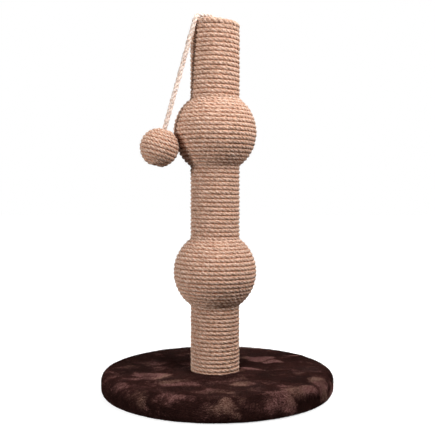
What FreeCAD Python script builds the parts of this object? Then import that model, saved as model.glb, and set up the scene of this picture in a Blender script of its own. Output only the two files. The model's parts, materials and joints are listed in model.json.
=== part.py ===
import FreeCAD, Part
import math
import os
import Sketcher

# A free-standing cat scratching post. A round plush-covered base carries a cardboard tube
# wound with rope. Two rope-wound balls sit on the tube, and a rope-wound toy ball hangs from
# the top on a cord that comes over the rim and rests against the upper ball.
#
# Millimetres. +Z is up, and the origin is on the floor under the middle of the round base.
# The front of the object is towards -Y.

Vector = FreeCAD.Vector
UP = Vector(0, 0, 1)
FULL_TURN = 2 * math.pi
BACK = 0.25  # turns from +X to the back of the post, where every length of rope ends
ARCS_PER_TURN = 4
LEAST_GAP = 0.4  # between the turns of a winding

# name, value, what it is
SIZES = (
    ("base_diameter", 300.0, "over the plush"),
    ("base_height", 30.0, "floor to the top of the plush"),
    ("edge_round", 9.5, "radius of the plush round the edge of the base"),
    ("board_diameter", 280.0, "chipboard disc in the base"),
    ("board_thickness", 18.0, ""),
    ("edge_gap", 0.3, "between the board's edge and the plush"),
    ("backing", 1.5, "woven backing of the plush, and its turned-under hem"),
    ("hem_inner_radius", 112.0, "where the hem under the board ends"),
    ("sheet_radius", 134.0, "felt sheet under the base"),
    ("sheet_thickness", 1.0, ""),
    ("access_radius", 17.0, "opening in the sheet for the bolt"),
    ("staple_count", 16, "staples that hold the hem"),
    ("staple_ring_radius", 123.0, ""),
    ("staple_width", 10.0, "over the crown"),
    ("staple_leg", 8.0, "length of a leg"),
    ("staple_wire", 1.0, ""),
    ("tube_radius", 26.8, "outside of the cardboard tube"),
    ("tube_wall", 3.5, ""),
    ("post_top", 471.0, "floor to the top of the post"),
    ("foot_gap", 0.5, "between the plush and the rope at the foot"),
    ("fit_gap", 0.1, "round a plug in the tube"),
    ("lower_plug_height", 30.0, ""),
    ("upper_plug_height", 20.0, ""),
    ("disc_thickness", 1.5, "felt disc on the top end"),
    ("disc_radius", 26.5, ""),
    ("bolt_radius", 4.0, "M8"),
    ("bolt_length", 40.0, "under the head"),
    ("bolt_hole_radius", 4.5, ""),
    ("head_across_flats", 13.0, ""),
    ("head_height", 5.3, ""),
    ("washer_radius", 12.0, ""),
    ("washer_thickness", 1.8, ""),
    ("counterbore_radius", 14.0, "sinks the bolt head into the board"),
    ("counterbore_depth", 9.0, ""),
    ("insert_radius", 5.5, "threaded insert in the lower plug"),
    ("insert_length", 22.0, ""),
    ("insert_bore_radius", 4.05, ""),
    ("flange_radius", 8.0, ""),
    ("flange_thickness", 1.5, ""),
    ("nail_count", 4, "nails through the tube into each plug"),
    ("nail_radius", 0.9, ""),
    ("nail_length", 16.0, ""),
    ("nail_head_radius", 2.0, ""),
    ("nail_head_thickness", 0.8, ""),
    ("shell_radius", 48.6, "outside of the moulded ball under the rope"),
    ("shell_wall", 3.0, ""),
    ("shell_bore_radius", 27.0, "where the tube goes through the ball"),
    ("shell_seam", 0.2, "between the two halves of a ball"),
    ("upper_ball_height", 335.0, "floor to the middle of the upper ball"),
    ("lower_ball_height", 155.5, "floor to the middle of the lower ball"),
    ("rope_radius", 2.3, "the post's rope"),
    ("rope_lift", 0.1, "between the rope and what it is wound on"),
    ("rope_joint", 1.2, "between the butted ends of two lengths of rope"),
    ("bottom_turns", 17.0, ""),
    ("middle_turns", 18.0, ""),
    ("top_turns", 16.0, ""),
    ("ball_turns", 18.0, ""),
    ("toy_core_radius", 20.4, ""),
    ("toy_rope_radius", 2.0, ""),
    ("toy_turns", 11.5, ""),
    ("toy_end_radius", 6.1, "from the toy's axis to the rope where a winding ends"),
    ("toy_azimuth", 23.3, "degrees from -X towards the front"),
    ("toy_height", 314.4, "floor to the middle of the toy ball"),
    ("toy_gap", 0.5, "between the toy ball and the ball it rests against"),
    ("cord_radius", 3.0, "the toy's cord"),
    ("cord_hole_radius", 3.5, ""),
    ("rim_azimuth", 40.0, "degrees, where the cord comes over the rim"),
    ("rim_reach", 35.6, "post axis to the cord's upper pivot"),
    ("rim_pivot_height", 466.0, ""),
    ("link_length", 14.0, "from the upper pivot to the lower one"),
    ("pivot_gap", 0.3, "between a rounded cord end and the face above it"),
    ("knot_radius", 5.6, ""),
    ("knot_height", 8.0, ""),
    ("knot_round", 2.5, ""),
    ("knot_gap", 0.3, "over the knot in the toy ball"),
    ("knot_hole_radius", 6.4, ""),
    ("knot_hole_depth", 10.0, ""),
)

# The cord from the hole in the upper plug to the rim: distance from the post's axis, height.
# The plane of these points turns towards the front by rim_azimuth.
ARCH_POINTS = (
    (0.0, 471.0),
    (0.0, 477.5),
    (5.5, 481.8),
    (19.5, 482.3),
    (28.0, 480.4),
)
ARCH_LAST_RUN = 7.5  # ends at the upper pivot's face, along the hanging cord


def new_sheet(doc):
    sheet = doc.addObject("Spreadsheet::Sheet", "sizes")
    for row, (name, value, note) in enumerate(SIZES, start=1):
        sheet.set(f"A{row}", name)
        sheet.set(f"B{row}", str(value))
        sheet.set(f"C{row}", note)
        sheet.setAlias(f"B{row}", name)
    doc.recompute()
    return sheet


doc = FreeCAD.newDocument("scratching_post")
sheet = new_sheet(doc)
pieces = []


def size(name):
    """A driving dimension as a plain number."""
    return float(getattr(sheet, name))


def worked_out(expression):
    """The value of an expression of the sheet's names."""
    value = sheet.evalExpression(expression)
    return float(getattr(value, "Value", value))


def keep(piece, label):
    """Marks a piece as one that is handed in under its label."""
    piece.Label = label
    pieces.append(piece)
    return piece


def bind(thing, **expressions):
    """Ties properties of a thing to expressions of the sheet's names."""
    for name, expression in expressions.items():
        thing.setExpression(name, expression)


# ---------------------------------------------------------------- turned pieces


def origin_plane(body, role):
    return next(plane for plane in body.Origin.OriginFeatures if plane.Role == role)


def turned_body(name, corners):
    """A body turned about Z, from corners written as (radius, height) expressions."""
    body = doc.addObject("PartDesign::Body", name + "_body")
    sketch = body.newObject("Sketcher::SketchObject", name + "_profile")
    sketch.AttachmentSupport = [(origin_plane(body, "XZ_Plane"), "")]
    sketch.MapMode = "FlatFace"
    points = [Vector(worked_out(radius), worked_out(height), 0) for radius, height in corners]
    count = len(points)
    for here in range(count):
        line = Part.LineSegment(points[here], points[(here + 1) % count])
        sketch.addGeometry(line, False)
    for here in range(count):
        sketch.addConstraint(Sketcher.Constraint("Coincident", here, 2, (here + 1) % count, 1))
    for here, (radius, height) in enumerate(corners):
        for kind, measure, number in (
            ("DistanceX", radius, points[here].x),
            ("DistanceY", height, points[here].y),
        ):
            at = sketch.addConstraint(Sketcher.Constraint(kind, -1, 1, here, 1, number))
            if not measure.replace(".", "").isdigit():
                sketch.setExpression(f"Constraints[{at}]", measure)
    turning = body.newObject("PartDesign::Revolution", name + "_turned")
    turning.Profile = sketch
    turning.ReferenceAxis = (sketch, ["V_Axis"])
    turning.Angle = 360
    doc.recompute()
    return body


def ring_edges(shape, radius, tolerance=1e-3):
    """The names of a shape's full circles of one radius."""
    names = []
    for number, edge in enumerate(shape.Edges, start=1):
        circle = isinstance(edge.Curve, Part.Circle)
        if circle and edge.isClosed() and abs(edge.Curve.Radius - radius) < tolerance:
            names.append(f"Edge{number}")
    return names


def cut_from(base, tool, name):
    """What is left of base where tool has been driven into it."""
    cut = doc.addObject("Part::Cut", name + "_cut")
    cut.Base = base
    cut.Tool = tool
    doc.recompute()
    if not cut.Shape.Volume < base.Shape.Volume:
        raise ValueError(f"{name}: the cut removed nothing")
    return cut


# ---------------------------------------------------------------- base

HEM_BOTTOM = "sizes.sheet_thickness"
BOARD_BOTTOM = "sizes.sheet_thickness + sizes.backing"
BOARD_TOP = BOARD_BOTTOM + " + sizes.board_thickness"
POST_FOOT = BOARD_TOP + " + sizes.backing"
ROPE_OUTSIDE = "sizes.tube_radius + sizes.rope_lift + 2 * sizes.rope_radius"


def staple(angle):
    """One staple, points up, with its crown across the radius at this angle."""
    wire = size("staple_wire")
    width = size("staple_width")
    ring = size("staple_ring_radius")
    low = worked_out(HEM_BOTTOM)
    crown = Part.makeBox(wire, width, wire, Vector(ring, -width / 2, low))
    legs = [
        Part.makeBox(wire, wire, size("staple_leg"), Vector(ring, side, low))
        for side in (-width / 2, width / 2 - wire)
    ]
    solid = crown.fuse(legs).removeSplitter()
    solid.rotate(Vector(), UP, math.degrees(angle))
    return solid.Solids[0]


def make_staples():
    count = round(size("staple_count"))
    ring = doc.addObject("Part::Feature", "staple_ring")
    ring.Shape = Part.makeCompound([staple(FULL_TURN * i / count) for i in range(count)])
    return keep(ring, "cover_staples")


def make_underside_sheet():
    corners = (
        ("sizes.access_radius", "0"),
        ("sizes.sheet_radius", "0"),
        ("sizes.sheet_radius", "sizes.sheet_thickness"),
        ("sizes.access_radius", "sizes.sheet_thickness"),
    )
    keep(turned_body("sheet", corners), "underside_sheet")


def make_board(staples):
    hole_top = BOARD_BOTTOM + " + sizes.counterbore_depth"
    corners = (
        ("sizes.counterbore_radius", BOARD_BOTTOM),
        ("sizes.board_diameter / 2", BOARD_BOTTOM),
        ("sizes.board_diameter / 2", BOARD_TOP),
        ("sizes.bolt_hole_radius", BOARD_TOP),
        ("sizes.bolt_hole_radius", hole_top),
        ("sizes.counterbore_radius", hole_top),
    )
    keep(cut_from(turned_body("board", corners), staples, "board"), "base_board")


def make_plush_cover(staples):
    """The plush over the board, round its edge and turned under it as a stapled hem."""
    inside = "sizes.board_diameter / 2 + sizes.edge_gap"
    well = ROPE_OUTSIDE + " + sizes.foot_gap"
    corners = (
        ("sizes.sheet_radius + sizes.edge_gap", "0"),
        ("sizes.base_diameter / 2", "0"),
        ("sizes.base_diameter / 2", "sizes.base_height"),
        (well, "sizes.base_height"),
        (well, POST_FOOT),
        ("sizes.bolt_hole_radius", POST_FOOT),
        ("sizes.bolt_hole_radius", BOARD_TOP),
        (inside, BOARD_TOP),
        (inside, BOARD_BOTTOM),
        ("sizes.hem_inner_radius", BOARD_BOTTOM),
        ("sizes.hem_inner_radius", HEM_BOTTOM),
        ("sizes.sheet_radius + sizes.edge_gap", HEM_BOTTOM),
    )
    body = turned_body("cover", corners)
    turned = body.Tip
    rounding = body.newObject("PartDesign::Fillet", "cover_edge")
    rounding.Base = (turned, ring_edges(turned.Shape, size("base_diameter") / 2))
    bind(rounding, Radius="sizes.edge_round")
    doc.recompute()
    keep(cut_from(body, staples, "cover"), "plush_cover")


def make_bolt():
    """Hexagon bolt from below, with its head sunk into the board."""
    head_top = f"{BOARD_BOTTOM} + sizes.counterbore_depth - sizes.washer_thickness"
    head = doc.addObject("Part::Prism", "bolt_head")
    head.Polygon = 6
    bind(head, Circumradius="sizes.head_across_flats / sqrt(3)", Height="sizes.head_height")
    head.setExpression("Placement.Base.z", f"{head_top} - sizes.head_height")
    shank = doc.addObject("Part::Cylinder", "bolt_shank")
    bind(shank, Radius="sizes.bolt_radius", Height="sizes.bolt_length")
    shank.setExpression("Placement.Base.z", head_top)
    bolt = doc.addObject("Part::MultiFuse", "bolt")
    bolt.Shapes = [head, shank]
    keep(bolt, "base_bolt")


def make_washer():
    top = f"{BOARD_BOTTOM} + sizes.counterbore_depth"
    corners = (
        ("sizes.bolt_hole_radius", f"{top} - sizes.washer_thickness"),
        ("sizes.washer_radius", f"{top} - sizes.washer_thickness"),
        ("sizes.washer_radius", top),
        ("sizes.bolt_hole_radius", top),
    )
    keep(turned_body("washer", corners), "base_washer")


# ---------------------------------------------------------------- post

TUBE_TOP = "sizes.post_top - sizes.disc_thickness"
TUBE_INSIDE = "sizes.tube_radius - sizes.tube_wall"


def nail(angle, height):
    """One nail through the tube's wall, its head flush with the outside."""
    outside = size("tube_radius")
    head = size("nail_head_thickness")
    inward = Vector(-1, 0, 0)
    solid = Part.makeCylinder(
        size("nail_head_radius"), head, Vector(outside - size("fit_gap"), 0, height), inward
    ).fuse(
        Part.makeCylinder(
            size("nail_radius"), size("nail_length"), Vector(outside - head, 0, height), inward
        )
    )
    solid.rotate(Vector(), UP, math.degrees(angle))
    return solid.Solids[0]


def make_nails():
    low = worked_out(f"{POST_FOOT} + sizes.lower_plug_height / 2")
    high = worked_out(f"{TUBE_TOP} - sizes.upper_plug_height / 2")
    count = round(size("nail_count"))
    solids = [
        nail(FULL_TURN * (i + 0.5) / count, height) for height in (low, high) for i in range(count)
    ]
    nails = doc.addObject("Part::Feature", "nails")
    nails.Shape = Part.makeCompound(solids)
    return keep(nails, "plug_nails")


def make_tube(nails):
    corners = (
        (TUBE_INSIDE, POST_FOOT),
        ("sizes.tube_radius", POST_FOOT),
        ("sizes.tube_radius", TUBE_TOP),
        (TUBE_INSIDE, TUBE_TOP),
    )
    keep(cut_from(turned_body("tube", corners), nails, "tube"), "post_tube")


def make_lower_plug(nails):
    outside = f"{TUBE_INSIDE} - sizes.fit_gap"
    flange_top = f"{POST_FOOT} + sizes.flange_thickness"
    insert_top = f"{POST_FOOT} + sizes.insert_length"
    top = f"{POST_FOOT} + sizes.lower_plug_height"
    corners = (
        ("sizes.flange_radius", POST_FOOT),
        (outside, POST_FOOT),
        (outside, top),
        ("sizes.bolt_hole_radius", top),
        ("sizes.bolt_hole_radius", insert_top),
        ("sizes.insert_radius", insert_top),
        ("sizes.insert_radius", flange_top),
        ("sizes.flange_radius", flange_top),
    )
    keep(cut_from(turned_body("lower_plug", corners), nails, "lower_plug"), "lower_plug")


def make_insert():
    flange_top = f"{POST_FOOT} + sizes.flange_thickness"
    top = f"{POST_FOOT} + sizes.insert_length"
    corners = (
        ("sizes.insert_bore_radius", POST_FOOT),
        ("sizes.flange_radius", POST_FOOT),
        ("sizes.flange_radius", flange_top),
        ("sizes.insert_radius", flange_top),
        ("sizes.insert_radius", top),
        ("sizes.insert_bore_radius", top),
    )
    keep(turned_body("insert", corners), "threaded_insert")


def make_upper_plug(nails):
    outside = f"{TUBE_INSIDE} - sizes.fit_gap"
    bottom = f"{TUBE_TOP} - sizes.upper_plug_height"
    corners = (
        ("sizes.cord_hole_radius", bottom),
        (outside, bottom),
        (outside, TUBE_TOP),
        ("sizes.cord_hole_radius", TUBE_TOP),
    )
    keep(cut_from(turned_body("upper_plug", corners), nails, "upper_plug"), "upper_plug")


def make_top_disc():
    corners = (
        ("sizes.cord_hole_radius", TUBE_TOP),
        ("sizes.disc_radius", TUBE_TOP),
        ("sizes.disc_radius", "sizes.post_top"),
        ("sizes.cord_hole_radius", "sizes.post_top"),
    )
    keep(turned_body("top_disc", corners), "top_disc")


def make_ball_shells(level, height):
    """The two moulded half shells of one ball, glued together round the tube."""
    name = level + "_ball"
    outer = doc.addObject("Part::Sphere", name + "_outside")
    bind(outer, Radius="sizes.shell_radius")
    inner = doc.addObject("Part::Sphere", name + "_inside")
    bind(inner, Radius="sizes.shell_radius - sizes.shell_wall")
    bore = doc.addObject("Part::Cylinder", name + "_bore")
    bind(bore, Radius="sizes.shell_bore_radius", Height="2 * sizes.shell_radius")
    bore.setExpression("Placement.Base.z", f"{height} - sizes.shell_radius")
    for ball in (outer, inner):
        ball.setExpression("Placement.Base.z", height)
    hollow = cut_from(outer, inner, name + "_hollow")
    shell = cut_from(hollow, bore, name + "_shell")
    for side, edge in (
        ("front", "-sizes.shell_radius - sizes.shell_seam / 2"),
        ("back", "sizes.shell_seam / 2"),
    ):
        box = doc.addObject("Part::Box", f"{name}_{side}_half")
        bind(
            box,
            Length="2 * sizes.shell_radius",
            Width="sizes.shell_radius",
            Height="2 * sizes.shell_radius",
        )
        box.setExpression("Placement.Base.x", "-sizes.shell_radius")
        box.setExpression("Placement.Base.y", edge)
        box.setExpression("Placement.Base.z", f"{height} - sizes.shell_radius")
        half = doc.addObject("Part::Common", f"{name}_{side}")
        half.Base = shell
        half.Tool = box
        keep(half, f"{level}_ball_{side}_shell")


# ---------------------------------------------------------------- rope and cord paths


def round_the_corner(start, corner, end):
    """The arc that touches both legs of a corner, from two points as far from it."""
    middle = (start + end) * 0.5
    leg = (corner - start).Length
    cos_half_turn = (end - start).Length / (2 * leg)
    crest = corner + (middle - corner) * (1 / (1 + cos_half_turn))
    return Part.Arc(start, crest, end).toShape()


def biarc(start, start_way, end, end_way):
    """Two arcs from start to end that touch each other and both end tangents."""
    across = end - start
    ways = start_way + end_way
    spread = 2 * (1 - start_way.dot(end_way))
    along = across.dot(ways)
    leg = (math.sqrt(along**2 + spread * across.dot(across)) - along) / spread
    first_corner = start + start_way * leg
    last_corner = end - end_way * leg
    joint = (first_corner + last_corner) * 0.5
    return [
        round_the_corner(start, first_corner, joint),
        round_the_corner(joint, last_corner, end),
    ]


def pipe(edges, radius):
    """One unbroken round tube along edges that touch end to end."""
    wire = Part.Wire(edges)
    first = edges[0]
    circle = Part.Circle(
        first.valueAt(first.FirstParameter), first.tangentAt(first.FirstParameter), radius
    )
    tube = wire.makePipeShell([Part.Wire(circle.toShape())], True, False)
    solid = Part.Solid(tube) if tube.ShapeType == "Shell" else tube.Solids[0]
    if solid.Volume < 0:
        solid.reverse()
    return solid


def least_gap(edges, diameter, samples=5):
    """The least clear space between a tube's turns, from points along its middle."""
    points = []
    for edge in edges:
        first, last = edge.ParameterRange
        points += [edge.valueAt(first + (last - first) * i / samples) for i in range(samples)]
    travelled = [0.0]
    for before, after in zip(points, points[1:]):
        travelled.append(travelled[-1] + (after - before).Length)
    away = 3 * diameter
    spans = [
        (points[a] - points[b]).Length
        for a in range(len(points))
        for b in range(a + 1, len(points))
        if travelled[b] - travelled[a] > away
    ]
    return min(spans) - diameter


def winding_path(place, first, last, diameter, lean_in):
    """Arcs along place(turn), with a straight run of one diameter at both ends.

    place gives a point for a number of turns about Z. Where a winding ends close to the axis,
    its ends lean in just enough for the straight run to stay at the winding's radius.
    """
    tiny = 1e-4
    count = math.ceil((last - first) * ARCS_PER_TURN)
    stops = [first + (last - first) * i / count for i in range(count + 1)]
    points = [place(stop) for stop in stops]
    ways = [(place(stop + tiny) - place(stop - tiny)).normalize() for stop in stops]
    for end, turning in ((0, -1), (-1, 1)):
        out = Vector(points[end].x, points[end].y, 0)
        lean = turning * math.asin(diameter / (2 * out.Length)) if lean_in else 0.0
        ways[end] = FreeCAD.Rotation(UP, math.degrees(lean)).multVec(ways[end])
    edges = [Part.LineSegment(points[0] - ways[0] * diameter, points[0]).toShape()]
    for i in range(count):
        edges += biarc(points[i], ways[i], points[i + 1], ways[i + 1])
    edges.append(Part.LineSegment(points[-1], points[-1] + ways[-1] * diameter).toShape())
    return edges


def at_angle(turn, out, height):
    """A point of a winding, a number of turns on from the back of the post."""
    angle = FULL_TURN * (BACK + turn)
    return Vector(out * math.cos(angle), out * math.sin(angle), height)


def down_cylinder(radius, top, bottom, turns):
    """Even turns down a cylinder, falling to the right as seen from outside."""

    def place(turn):
        return at_angle(turn, radius, top + (bottom - top) * turn / turns)

    return place


def down_ball(radius, end_radius, middle, turns):
    """Turns evenly spaced along a ball's meridian, from end_radius to end_radius."""
    reach = math.acos(end_radius / radius)

    def place(turn):
        latitude = reach * (1 - 2 * turn / turns)
        out = radius * math.cos(latitude)
        return at_angle(turn, out, middle + radius * math.sin(latitude))

    return place


def make_winding(label, edges, radius, placement=None):
    gap = least_gap(edges, 2 * radius)
    tightest = min(edge.Curve.Radius for edge in edges[1:-1])
    print(f"{label}: least gap {gap:.2f} mm, tightest arc {tightest:.2f} mm")
    if gap <= LEAST_GAP or tightest < 2 * radius:
        raise ValueError(f"{label}: the turns are too close or too tight")
    winding = doc.addObject("Part::Feature", label + "_winding")
    winding.Shape = pipe(edges, radius)
    if placement:
        winding.Placement = placement
    return keep(winding, label)


def make_post_ropes():
    """Five lengths of rope, butted end to end at the back: three on the tube, two on balls."""
    rope = size("rope_radius")
    lift = size("rope_lift") + rope
    on_tube = size("tube_radius") + lift
    round_ball = size("shell_radius") + lift
    ball_reach = math.sqrt(round_ball**2 - on_tube**2)
    upper, lower = size("upper_ball_height"), size("lower_ball_height")
    foot = worked_out(POST_FOOT) + lift + size("foot_gap")
    end_run = (2 * rope + size("rope_joint") / 2) / (FULL_TURN * on_tube)
    for name, top, bottom in (
        ("top", size("post_top") - rope, upper + ball_reach),
        ("middle", upper - ball_reach, lower + ball_reach),
        ("bottom", lower - ball_reach, foot),
    ):
        turns = size(name + "_turns")
        place = down_cylinder(on_tube, top, bottom, turns)
        edges = winding_path(place, end_run, turns - end_run, 2 * rope, lean_in=False)
        make_winding(name + "_rope", edges, rope)
    for name, middle in (("upper", upper), ("lower", lower)):
        turns = size("ball_turns")
        place = down_ball(round_ball, on_tube, middle, turns)
        edges = winding_path(place, end_run, turns - end_run, 2 * rope, lean_in=False)
        make_winding(name + "_ball_rope", edges, rope)


# ---------------------------------------------------------------- toy on its cord


def toy_centre():
    """Resting against the upper ball, at its own azimuth and height."""
    round_ball = size("shell_radius") + size("rope_lift") + 2 * size("rope_radius")
    toy_radius = size("toy_core_radius") + size("rope_lift") + 2 * size("toy_rope_radius")
    between = round_ball + toy_radius + size("toy_gap")
    drop = size("upper_ball_height") - size("toy_height")
    out = math.sqrt(between**2 - drop**2)
    azimuth = math.radians(size("toy_azimuth"))
    return Vector(-out * math.cos(azimuth), -out * math.sin(azimuth), size("toy_height"))


def rim_point(out, height):
    """A point in the upright plane in which the cord comes over the rim."""
    azimuth = math.radians(size("rim_azimuth"))
    return Vector(-out * math.cos(azimuth), -out * math.sin(azimuth), height)


TOY = toy_centre()
UPPER_PIVOT = rim_point(size("rim_reach"), size("rim_pivot_height"))
HANG = (TOY - UPPER_PIVOT).normalize()  # the way the taut cord runs
LOWER_PIVOT = UPPER_PIVOT + HANG * size("link_length")
TOY_PLACEMENT = FreeCAD.Placement(TOY, FreeCAD.Rotation(UP, -HANG))


def cord_path(points):
    """Straight runs joined by arcs as large as the runs beside them allow."""
    share = 0.45  # of the shorter run that each arc may take
    edges = []
    at = points[0]
    for before, corner, after in zip(points, points[1:], points[2:]):
        leg = share * min((corner - before).Length, (after - corner).Length)
        start = corner + (before - corner).normalize() * leg
        end = corner + (after - corner).normalize() * leg
        edges.append(Part.LineSegment(at, start).toShape())
        edges.append(round_the_corner(start, corner, end))
        at = end
    edges.append(Part.LineSegment(at, points[-1]).toShape())
    return edges


def make_cord_tube(label, points, rounded_start=False):
    """A length of cord, with a ball at its start where that is a pivot."""
    radius = size("cord_radius")
    edges = cord_path(points)
    tube = pipe(edges, radius)
    length = sum(edge.Length for edge in edges)
    bends = [round(edge.Curve.Radius, 1) for edge in edges if isinstance(edge.Curve, Part.Circle)]
    share = tube.Volume / (math.pi * radius**2 * length)
    print(f"{label}: length {length:.1f} mm, arcs {bends}, volume {share:.4f} of section x length")
    if rounded_start:
        tube = tube.fuse(Part.makeSphere(radius, points[0])).removeSplitter().Solids[0]
    cord = doc.addObject("Part::Feature", label + "_tube")
    cord.Shape = tube
    return keep(cord, label)


def make_knot(label, placement):
    """A stopper knot as a rounded drum, its top on the cord's end face."""
    drum = doc.addObject("Part::Cylinder", label + "_drum")
    bind(drum, Radius="sizes.knot_radius", Height="sizes.knot_height")
    doc.recompute()
    knot = doc.addObject("Part::Fillet", label + "_rounded")
    knot.Base = drum
    rounding = size("knot_round")
    edges = enumerate(drum.Shape.Edges, start=1)
    knot.Edges = [(i, rounding, rounding) for i, edge in edges if edge.isClosed()]
    knot.Placement = placement
    keep(knot, label)


def make_cord():
    """The cord from its knot in the tube, over the rim, down to its knot in the toy."""
    face_gap = size("cord_radius") + size("pivot_gap")
    plug_bottom = worked_out(f"{TUBE_TOP} - sizes.upper_plug_height")
    hole_mouth = Vector(0, 0, size("post_top"))
    knot_bottom = Vector(0, 0, plug_bottom - size("knot_height"))
    make_knot("cord_knot", FreeCAD.Placement(knot_bottom, FreeCAD.Rotation()))
    make_cord_tube("cord_in_plug", [Vector(0, 0, plug_bottom), hole_mouth])

    arch_end = UPPER_PIVOT - HANG * face_gap
    arch = [rim_point(out, height) for out, height in ARCH_POINTS]
    arch += [arch_end - HANG * ARCH_LAST_RUN, arch_end]
    make_cord_tube("cord_over_rim", arch)
    make_cord_tube(
        "cord_link", [UPPER_PIVOT, LOWER_PIVOT - HANG * face_gap], rounded_start=True
    )

    to_pole = size("toy_core_radius")
    knot_top = TOY + HANG * (to_pole - size("knot_hole_depth") + size("knot_gap"))
    make_cord_tube("hanging_cord", [LOWER_PIVOT, knot_top], rounded_start=True)
    knot_base = knot_top + HANG * size("knot_height")
    make_knot("toy_knot", FreeCAD.Placement(knot_base, FreeCAD.Rotation(UP, -HANG)))


def make_toy_core():
    """A ball with a hole along its axis and a wider end that takes the knot."""
    ball = doc.addObject("Part::Sphere", "toy_ball_solid")
    bind(ball, Radius="sizes.toy_core_radius")
    hole = doc.addObject("Part::Cylinder", "toy_cord_hole")
    bind(hole, Radius="sizes.cord_hole_radius", Height="2 * sizes.toy_core_radius")
    hole.setExpression("Placement.Base.z", "-sizes.toy_core_radius")
    well = doc.addObject("Part::Cylinder", "toy_knot_hole")
    bind(well, Radius="sizes.knot_hole_radius", Height="sizes.knot_hole_depth")
    well.setExpression("Placement.Base.z", "-sizes.toy_core_radius")
    holes = doc.addObject("Part::MultiFuse", "toy_holes")
    holes.Shapes = [hole, well]
    core = cut_from(ball, holes, "toy_core")
    core.Placement = TOY_PLACEMENT
    keep(core, "toy_ball_core")


def make_toy_rope():
    rope = size("toy_rope_radius")
    radius = size("toy_core_radius") + size("rope_lift") + rope
    turns = size("toy_turns")
    place = down_ball(radius, size("toy_end_radius"), 0.0, turns)
    edges = winding_path(place, 0.0, turns, 2 * rope, lean_in=True)
    make_winding("toy_ball_rope", edges, rope, TOY_PLACEMENT)


# ---------------------------------------------------------------- the whole object


def make_all():
    staples = make_staples()
    make_underside_sheet()
    make_board(staples)
    make_plush_cover(staples)
    make_bolt()
    make_washer()
    nails = make_nails()
    make_tube(nails)
    make_lower_plug(nails)
    make_insert()
    make_upper_plug(nails)
    make_top_disc()
    make_ball_shells("upper", "sizes.upper_ball_height")
    make_ball_shells("lower", "sizes.lower_ball_height")
    make_post_ropes()
    make_cord()
    make_toy_core()
    make_toy_rope()
    doc.recompute()


def check_all():
    for thing in doc.Objects:
        if "Invalid" in thing.State or "Error" in thing.State:
            raise ValueError(f"{thing.Label} was not built: {thing.State}")
    for piece in pieces:
        shape = piece.Shape
        if shape.isNull() or not shape.isValid() or not shape.Solids:
            raise ValueError(f"{piece.Label} has no valid shape")


def write_all():
    os.makedirs("parts", exist_ok=True)
    for piece in pieces:
        piece.Shape.exportStep(f"parts/{piece.Label}.step")
        box = piece.Shape.BoundBox
        print(f"{piece.Label}: {len(piece.Shape.Solids)} solid(s), {piece.Shape.Volume:.0f} mm3, "
              f"z {box.ZMin:.1f} to {box.ZMax:.1f}")


make_all()
check_all()
write_all()
print("toy centre", TOY, "upper pivot", UPPER_PIVOT, "lower pivot", LOWER_PIVOT, "hang", HANG)
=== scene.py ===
import json
import math

import bpy
import numpy as np
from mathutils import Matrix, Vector, noise


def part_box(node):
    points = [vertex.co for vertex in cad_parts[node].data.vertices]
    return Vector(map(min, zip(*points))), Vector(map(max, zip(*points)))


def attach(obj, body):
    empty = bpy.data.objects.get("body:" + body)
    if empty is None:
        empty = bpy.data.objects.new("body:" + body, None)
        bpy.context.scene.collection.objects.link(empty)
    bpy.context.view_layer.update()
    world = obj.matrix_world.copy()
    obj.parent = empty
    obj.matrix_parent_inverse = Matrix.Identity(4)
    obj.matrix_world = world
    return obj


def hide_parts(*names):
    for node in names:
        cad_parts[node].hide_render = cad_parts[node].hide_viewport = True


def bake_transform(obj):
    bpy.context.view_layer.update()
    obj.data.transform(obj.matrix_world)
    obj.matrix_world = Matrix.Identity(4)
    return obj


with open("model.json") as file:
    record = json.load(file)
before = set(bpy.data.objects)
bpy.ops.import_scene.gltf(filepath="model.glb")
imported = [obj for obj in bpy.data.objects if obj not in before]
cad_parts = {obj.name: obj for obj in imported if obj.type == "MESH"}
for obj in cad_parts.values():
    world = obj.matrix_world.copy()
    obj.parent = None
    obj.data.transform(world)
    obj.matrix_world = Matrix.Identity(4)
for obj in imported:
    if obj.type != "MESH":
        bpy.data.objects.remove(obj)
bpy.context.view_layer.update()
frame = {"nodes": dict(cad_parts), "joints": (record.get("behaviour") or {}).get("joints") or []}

# A rope-wound scratching post on a round plush base, with a toy ball on a cord.
# Metres. +Z is up, the origin is on the floor under the base, and the front is towards -Y.

MM = 0.001
FULL_TURN = 2 * math.pi
UP = Vector((0, 0, 1))
BAKE_MAP = "OFBake"

# ---------------------------------------- sizes

JOINTS = {joint["name"]: joint for joint in frame["joints"]}
UPPER_PIVOT = Vector(JOINTS["toy_swing_side"]["pos_m"])
LOWER_PIVOT = Vector(JOINTS["toy_swing_out"]["pos_m"])
TOY = Vector(JOINTS["toy_twist"]["pos_m"])
HANG = Vector(JOINTS["toy_twist"]["axis"]).normalized()

TUBE_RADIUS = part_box("post_tube")[1].x
POST_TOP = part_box("top_disc")[1].z
POST_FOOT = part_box("post_tube")[0].z
PLUG_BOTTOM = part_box("upper_plug")[0].z
SHELL_RADIUS = -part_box("upper_ball_front_shell")[0].y
UPPER_BALL = sum(corner.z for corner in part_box("upper_ball_front_shell")) / 2
LOWER_BALL = sum(corner.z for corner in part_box("lower_ball_front_shell")) / 2
TOY_CORE_RADIUS = 20.4 * MM

ROPE_RADIUS = 2.3 * MM  # of the plain winding that the twisted rope stands for
ROPE_LIFT = 0.1 * MM  # between a winding and what it is wound on
ROPE_JOINT = 1.2 * MM  # from the end of one length of rope to the next length
FOOT_GAP = 0.5 * MM
BACK = 0.25  # turns from +X to the back, where every length of rope ends
TURNS = {"top": 16, "middle": 18, "bottom": 17, "ball": 18, "toy": 11.5}
TOY_ROPE_RADIUS = 2.0 * MM
TOY_END_RADIUS = 6.1 * MM  # of the winding's first and last turn, round the toy's poles
CORD_RADIUS = 3.2 * MM

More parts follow.
